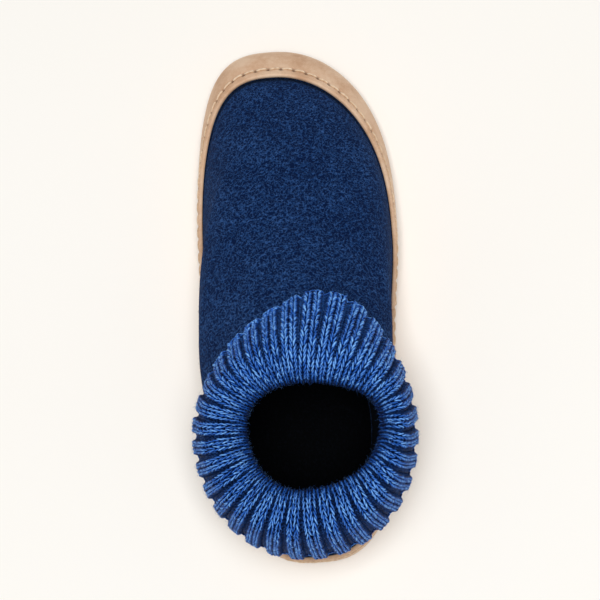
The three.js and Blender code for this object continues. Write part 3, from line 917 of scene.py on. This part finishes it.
def make_whip(name, joint, draw):
    """Short slanted stitches across a joint of the rand."""
    share = np.linspace(-1, 1, THREAD_POINTS)
    here = foot.at(RAND_BELLY, np.array([joint, joint + SMALL_TURN]))
    reach = WHIP_REACH * SMALL_TURN / np.linalg.norm(here[1] - here[0])
    high = rand_top(joint) - WHIP_HIGH
    height = np.linspace(WHIP_LOW, high, WHIP_STITCHES)[:, None] + WHIP_SLANT * share
    turn = joint + reach * share * draw.uniform(*WHIP_SPREAD, (WHIP_STITCHES, 1))
    offset = RAND_FACE + THREAD_RISE - THREAD_DIP * np.abs(share) ** DIP_POWER
    radius = np.full(turn.shape, THREAD_RADIUS)
    tones = draw.uniform(*WHIP_TONES, WHIP_STITCHES)
    make_strands(name, on_foot, height, turn, offset, radius, thread, tones)


RAND_SEED = 23


def make_rand():
    """Both strips with their thread, a gap apart at the joints; a turn is about two lengths."""
    draw = np.random.default_rng(RAND_SEED)
    lateral, medial = joint_turns()
    slit = GAP / 2 / (2 * LENGTH)
    ends = (lateral + slit, medial - slit)
    toe, toe_holes = make_strip("rand_toe_strip", *ends, rand_leather, "rand_leather")
    ends = (medial + slit, 1 + lateral - slit)
    heel, heel_holes = make_strip("rand_heel_strip", *ends, rand_suede, "rand_suede")
    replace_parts(toe, "rand_toe")
    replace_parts(heel, "rand_heel")
    make_thread("rand_toe_thread", toe_holes, draw)
    make_thread("rand_heel_thread", heel_holes, draw)
    make_whip("rand_joint_lateral", lateral, draw)
    make_whip("rand_joint_medial", medial, draw)


make_rand()


def drawn_in(line, by):
    """A level ring drawn in by the same amount all round."""
    tangent = unit(np.roll(line, -1, axis=0) - np.roll(line, 1, axis=0))
    inward = np.column_stack([-tangent[:, 1], tangent[:, 0], np.zeros(len(line))])
    return line + np.reshape(by, (-1, 1)) * inward


def plate(rings, across):
    """A plate from rings listed from its top outline to its bottom outline, crossed at equal shares."""
    count = rings[0].shape[0]
    share = np.linspace(0, 1, across)[None, :, None]
    lateral = np.arange(1, count // 2)
    medial = count - lateral

    def row(ring, start, end):
        return ring[start][:, None] * (1 - share) + ring[end][:, None] * share

    down = np.stack([ring[lateral] for ring in rings[1:-1]], axis=1)
    up = np.stack([ring[medial] for ring in rings[-2:0:-1]], axis=1)
    top = row(rings[0], medial, lateral)
    bottom = row(rings[-1], lateral, medial)
    return loft(placed(np.concatenate([top, down, bottom, up], axis=1)), False)


SOLE_TURNS = 320
SOLE_ACROSS = 44
ROLL_ROWS = 6


def make_sole():
    turn = np.arange(SOLE_TURNS) / SOLE_TURNS
    rings = [drawn_in(foot.at(SOLE, turn), GAP)]
    rim = foot.at(SOLE_ROLL, turn)
    for angle in np.linspace(0, np.pi / 2, ROLL_ROWS):
        ring = drawn_in(rim, GAP + SOLE_FLAT_INSET * (1 - np.cos(angle)))
        ring[:, 2] = SOLE_ROLL * (1 - np.sin(angle))
        rings.append(ring)
    points, faces = plate(rings, SOLE_ACROSS)
    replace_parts(make_piece("sole_bottom", points, faces, sole_suede), "sole")


make_sole()

SEAM_TURNS = 640
SEAM_SIDES = 8
SEAM_HEIGHT = 2.3
SEAM_OFFSET = 0.12
SEAM_RADIUS = 0.5
SEAM_PUCKERS = 150
SEAM_PUCKER = 0.08


def make_seam():
    """The sewn seam between the sole and the rand, as a puckered welt in the groove between them."""
    turn = np.arange(SEAM_TURNS) / SEAM_TURNS
    radius = SEAM_RADIUS + SEAM_PUCKER * np.sin(2 * np.pi * SEAM_PUCKERS * turn)
    angle = 2 * np.pi * np.arange(SEAM_SIDES) / SEAM_SIDES
    height = SEAM_HEIGHT + radius[:, None] * np.sin(angle)
    offset = SEAM_OFFSET + radius[:, None] * np.cos(angle)
    points, faces = loft(on_foot(height, turn[:, None], offset), True)
    make_piece("sole_seam", points, faces, seam_suede)


make_seam()

INSOLE_GAP = 1.5 * GAP
INSOLE_FLOOR = SOLE + INSOLE_GAP
INSOLE_ROUND = 1.0
INSOLE_BEVEL = 0.3
INSOLE_RINGS = (
    (INSOLE, INSOLE_ROUND),
    (INSOLE - INSOLE_BEVEL, INSOLE_BEVEL),
    (INSOLE - INSOLE_ROUND, 0),
    (INSOLE_BEVEL, 0),
    (0, INSOLE_BEVEL),
)


def make_insole():
    turn = np.arange(SOLE_TURNS // 2) / (SOLE_TURNS // 2)
    base = foot.at(INSOLE_FLOOR, turn)
    rings = []
    for up, inset in INSOLE_RINGS:
        ring = drawn_in(base, INSOLE_INSET + inset)
        ring[:, 2] = INSOLE_FLOOR + up
        rings.append(ring)
    points, faces = plate(rings, SOLE_ACROSS // 2)
    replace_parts(make_piece("insole_felt_pad", points, faces, insole_painted_shade), "insole")


make_insole()

# The knit: each rib is a raised band of two wales of V stitches, with a sunk valley of purl bumps. The
# valleys close towards the throat, where the fabric is drawn together.
BAND_CENTRE = 0.29
VALLEY_CENTRE = 0.79
BAND = table(
    "step share",
    [(0, 0.98), (1, 0.97), (2, 0.97), (3, 0.94), (4, 0.89), (5.5, 0.82), (7, 0.75)],
)
BAND_SLOPE = 0.09
STRETCH = 0.14
STRETCH_STEPS = (0.9, 2.4)
STRETCH_RIBS = (3.0, 7.0)
YARN_SHARE = 0.165
WALES = 2
BASE_SINK = 0.9
VALLEY_SINK = 0.5
YARN_FROM = 0.6
ROW_PERIOD = 2.4
SCALLOP = 0.05
# Painted shade: the throat is darkened from step THROAT_DEEP to THROAT_OPEN, and SIDE_SHADE darkens the
# stretched sides.
THROAT_DEEP = 0.8
THROAT_OPEN = 2.0
SIDE_SHADE = 0.5
FABRIC_COLUMNS = 384
SHOWN_ROWS = 84
HIDDEN_ROWS = 30


def stretched(step, phase):
    """1 where the fabric is pulled wide at the cuff's sides and back, 0 in front and in the throat."""
    return smoothstep(step, *STRETCH_STEPS) * smoothstep(np.abs(phase - RIBS / 2), *STRETCH_RIBS)


def band_share(step, phase):
    """The part of a rib's pitch that its band takes up."""
    return read(BAND, "step", step)["share"] - STRETCH * stretched(step, phase)


def band_lift(step, phase):
    """1 on a rib's band, falling to -1 in its valley."""
    half = band_share(step, phase) / 2
    away = np.abs((phase - BAND_CENTRE + 0.5) % 1.0 - 0.5)
    return 1 - 2 * smoothstep(away, half - BAND_SLOPE, half + BAND_SLOPE)


def rib_relief(step, phase):
    """How far the ribs stand off the cuff's middle surface."""
    return read(CUFF, "step", step)["relief"] * band_lift(step, phase)


def fabric_face(step, phase):
    """Offset of the fabric's shown face, under the yarn."""
    sunk = VALLEY_SINK * np.maximum(0, -band_lift(step, phase))
    return KNIT / 2 + rib_relief(step, phase) - BASE_SINK - sunk


def hem_step(phase):
    """The step at which the fabric ends, a little short in the valleys."""
    return LAST_STEP - SCALLOP * (1 - band_lift(LAST_STEP, phase))


def make_fabric():
    """The knit's ground: a corrugated sheet that carries the stitches."""
    phase = np.arange(FABRIC_COLUMNS)[:, None] * RIBS / FABRIC_COLUMNS
    shown = hem_step(phase) * np.linspace(0, 1, SHOWN_ROWS)
    hidden = hem_step(phase) * np.linspace(1, 0, HIDDEN_ROWS)
    face = on_cuff(shown, phase, fabric_face(shown, phase))
    back = on_cuff(hidden, phase, rib_relief(hidden, phase) - KNIT / 2)
    points, faces = loft(np.concatenate([face, back], axis=1), True)
    # Painted shade: the ground is darkened in the throat and, by SIDE_SHADE, on the stretched sides.
    throat = 1 - smoothstep(shown, THROAT_DEEP, THROAT_OPEN)
    painted_shade_share = np.maximum(throat, SIDE_SHADE * stretched(shown, phase))
    tone = np.concatenate([painted_shade_share, np.zeros(back.shape[:2])], axis=1)
    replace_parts(make_piece("cuff_fabric", points, faces, knit_base_painted_shade, tone=tone), "cuff")


make_fabric()

ROW_SAMPLES = 200


def knit_rows():
    """Steps of the fabric at evenly spaced rows of stitches, from the throat to the hem."""
    steps = np.linspace(YARN_FROM, LAST_STEP, ROW_SAMPLES)
    phase = np.arange(RIBS)[:, None] + BAND_CENTRE
    line = on_cuff(steps[None, :], phase, KNIT / 2)
    reach = np.linalg.norm(np.diff(line, axis=1), axis=2).mean(axis=0)
    reach = np.concatenate([[0], np.cumsum(reach)])
    count = int(reach[-1] / ROW_PERIOD)
    return np.interp(np.arange(count + 1) / count * reach[-1], reach, steps)


ROWS = knit_rows()


def row_step(row):
    return np.interp(row, np.arange(len(ROWS)), ROWS)


def pitch_at(step, phase):
    """The width of one rib in millimetres."""
    apart = on_cuff(step, phase + 0.5, 0.0) - on_cuff(step, phase - 0.5, 0.0)
    return np.linalg.norm(apart, axis=-1)


def combined(*lists):
    """Every combination of values from several lists, as a column for each list."""
    return [values.reshape(-1, 1) for values in np.meshgrid(*lists, indexing="ij")]


LEG_POINTS = 5
LEG_SPAN = 1.5
LEG_START = -0.25
LEG_INSIDE = 0.12
LEG_OUTSIDE = 0.385
LEG_DIVE = 0.65
LEG_RISE = 1.15
LEG_LIFT = (0.4, 0.15)
LEG_ENDS = 0.7
LEG_SWELL = 0.3
LEG_SPREAD = 0.1
JITTER_SIDE = 0.012
JITTER_ROW = 0.1
THROAT_SHADE = 1.3


def make_stitches(name, ribs, draw):
    """The V stitches of some ribs: two legs a stitch, open to the hem, with painted shade in the
    throat.
    """
    rows = np.arange(len(ROWS) - 1)
    wales = np.arange(WALES) - (WALES - 1) / 2
    rib, wale, row, side = combined(ribs, wales, rows, (-1, 1))
    count = len(rib)
    along = np.linspace(0, 1, LEG_POINTS)
    out = LEG_INSIDE + (LEG_OUTSIDE - LEG_INSIDE) * smoothstep(along, 0, 1)
    step = row_step(row + LEG_START + LEG_SPAN * along + draw.normal(0, JITTER_ROW, (count, 1)))
    across = band_share(step, rib + BAND_CENTRE) / WALES * (wale + side * out)
    phase = rib + BAND_CENTRE + across + draw.normal(0, JITTER_SIDE, (count, 1))
    radius = YARN_SHARE * band_share(step, phase) / WALES * pitch_at(step, phase)
    radius = radius * draw.normal(1, LEG_SPREAD, (count, 1))
    hump = 1 - (2 * along - 1) ** 2
    rise = LEG_RISE * hump - LEG_DIVE + draw.normal(*LEG_LIFT, (count, 1))
    offset = fabric_face(step, phase) + radius * rise
    radius = radius * (LEG_ENDS + LEG_SWELL * hump)
    # Painted shade: the stitches' tone is lowered in the throat.
    painted_shade_share = 1 - smoothstep(step.mean(axis=1), THROAT_DEEP, THROAT_OPEN)
    tones = draw.uniform(0, 1, count) - THROAT_SHADE * painted_shade_share
    make_strands(name, on_cuff, step, phase, offset, radius, yarn, tones)


PURL_POINTS = 4
PURL_COLUMNS = 2
PURL_LEAST = 0.3
PURL_SHARE = 0.12
PURL_EXTRA = 0.06
PURL_BOW = 0.3
PURL_LIFT = 0.2
PURL_SPREAD = 0.08
VALLEY_SHADE = 0.6


def make_purls(draw):
    """The purl bumps of each valley: short loops, bowed up and down by turns and set like bricks."""
    columns = np.arange(PURL_COLUMNS) - (PURL_COLUMNS - 1) / 2
    half_rows = np.arange(2 * (len(ROWS) - 1))
    rib, column, half_row = combined(np.arange(RIBS), columns, half_rows)
    count = len(rib)
    turned = half_row % 2 - 0.5
    along = np.linspace(-0.5, 0.5, PURL_POINTS)
    bow = 2 * turned * PURL_BOW * np.cos(np.pi * along)
    step = row_step(0.5 * half_row + bow + draw.normal(0, JITTER_ROW, (count, 1)))
    middle = rib + VALLEY_CENTRE
    share = (1 - band_share(step, middle) + PURL_EXTRA) / PURL_COLUMNS
    phase = middle + share * (column + along + 0.5 * turned) + draw.normal(0, JITTER_SIDE, (count, 1))
    radius = PURL_LEAST + PURL_SHARE * share * pitch_at(step, phase)
    radius = radius * draw.normal(1, PURL_SPREAD, (count, 1))
    offset = fabric_face(step, phase) + PURL_LIFT * radius
    # Painted shade: the purl bumps are darkened on the stretched sides.
    tones = draw.uniform(0, 1, count) - VALLEY_SHADE * stretched(step, phase).mean(axis=1)
    make_strands("cuff_purl_bumps", on_cuff, step, phase, offset, radius, valley_yarn_painted_shade, tones)


HEM_LOOPS = 5
HEM_POINTS = 7
HEM_RADIUS = 0.5
HEM_SPREAD = 0.06
HEM_TONES = (-0.1, 0.9)
HEM_SLANT = 0.12
HEM_FOLLOW = 0.9
HEM_SINK = 0.4
HEM_DIVE = 0.35


def make_hem(draw):
    """The bound-off edge: a chain of slanted loops round the hem."""
    start = (np.arange(RIBS * HEM_LOOPS) / HEM_LOOPS)[:, None]
    along = np.linspace(0, 1, HEM_POINTS)
    phase = start + along / HEM_LOOPS
    step = hem_step(phase) - HEM_SLANT * (0.5 - along)
    relief = HEM_FOLLOW * rib_relief(step, phase)
    offset = KNIT / 2 + relief - HEM_SINK - HEM_DIVE * (2 * along - 1) ** 2
    radius = HEM_RADIUS * draw.normal(1, HEM_SPREAD, (len(start), 1)) * np.ones(HEM_POINTS)
    tones = draw.uniform(*HEM_TONES, len(start))
    make_strands("cuff_hem_chain", on_cuff, step, phase, offset, radius, yarn, tones)


FUZZ_HAIRS = 5000
FUZZ_HABIT = dict(
    sink=0.0, lean=(0.2, 1.0), bend=1.0, droop=0.0, length=(1.2, 3.6), radius=(0.018, 0.034)
)


def make_fuzz(draw):
    """Loose wool ends that stand off the yarn."""
    step = row_step(draw.uniform(0, len(ROWS) - 1, FUZZ_HAIRS))
    middle = draw.integers(0, RIBS, FUZZ_HAIRS) + BAND_CENTRE
    phase = middle + band_share(step, middle) / 2 * draw.uniform(-1, 1, FUZZ_HAIRS)
    offset = fabric_face(step, phase) + BASE_SINK
    make_hairs("cuff_fuzz", on_cuff, step, phase, offset, FUZZ_HABIT, knit_wisp, draw)


KNIT_SEED = 37
HALF_RIBS = RIBS // 2
knit_draw = np.random.default_rng(KNIT_SEED)
make_stitches("cuff_stitches_lateral", np.arange(HALF_RIBS), knit_draw)
make_stitches("cuff_stitches_medial", np.arange(HALF_RIBS, RIBS), knit_draw)
make_purls(knit_draw)
make_hem(knit_draw)
make_fuzz(knit_draw)

# The stage, placed in metres: a pale floor, soft light all round, and a large lamp above the shoe.
FLOOR_HALF = 4.0
FLOOR_DROP = 0.0002
PAPER_CLOUDS = 400
PAPER_STOPS = (0.3, 0.7)
PAPER_TINTS = ((250, 247, 242), (251, 249, 245))


def make_floor():
    mesh = bpy.data.meshes.new("floor")
    corners = [(-1, -1), (1, -1), (1, 1), (-1, 1)]
    points = [(FLOOR_HALF * x, FLOOR_HALF * y, -FLOOR_DROP) for x, y in corners]
    mesh.from_pydata(points, [], [(0, 1, 2, 3)])
    paper = Finish("floor_paper", roughness=0.9, specular=0.1)
    paper.paint(paper.ramp(paper.noise(PAPER_CLOUDS), PAPER_STOPS, PAPER_TINTS))
    mesh.materials.append(paper.material)
    floor = add_object("floor", mesh)


make_floor()

WORLD_STRENGTH = 0.28
WORLD_COLOUR = (1.0, 0.995, 0.98, 1.0)
LAMP_COLOUR = (1.0, 0.995, 0.983)
LAMP_POWER = 32.0
LAMP_SIZE = 0.7
LAMP_PLACE = Vector((0.06, -0.2, 2.0))


def make_light():
    world = bpy.data.worlds.new("studio")
    bpy.context.scene.world = world
    world.use_nodes = True
    background = world.node_tree.nodes["Background"]
    background.inputs["Color"].default_value = WORLD_COLOUR
    background.inputs["Strength"].default_value = WORLD_STRENGTH
    lamp = bpy.data.lights.new("lamp", "AREA")
    lamp.size = LAMP_SIZE
    lamp.energy = LAMP_POWER
    lamp.color = LAMP_COLOUR
    holder = add_object("lamp", lamp)
    holder.location = LAMP_PLACE
    holder.rotation_euler = (-LAMP_PLACE).to_track_quat("-Z", "Y").to_euler()


make_light()

# The camera stands where the photograph was taken from, turned to the middle of the shoe.
EYE = Vector((0.0623, -0.1664, 1.1248))
AIM = Vector((0.001, -0.004, 0.05))
UP = Vector((0.0757, 0.9907, 0.1126))
LENS = 132.0


def make_camera():
    camera = bpy.data.cameras.new("camera")
    camera.lens = LENS
    forward = (AIM - EYE).normalized()
    right = forward.cross(UP).normalized()
    up = right.cross(forward)
    turned = Matrix((right, up, -forward)).transposed().to_4x4()
    holder = add_object("camera", camera)
    holder.matrix_world = Matrix.Translation(EYE) @ turned
    bpy.context.scene.camera = holder


make_camera()
bpy.context.scene.view_settings.view_transform = "Standard"
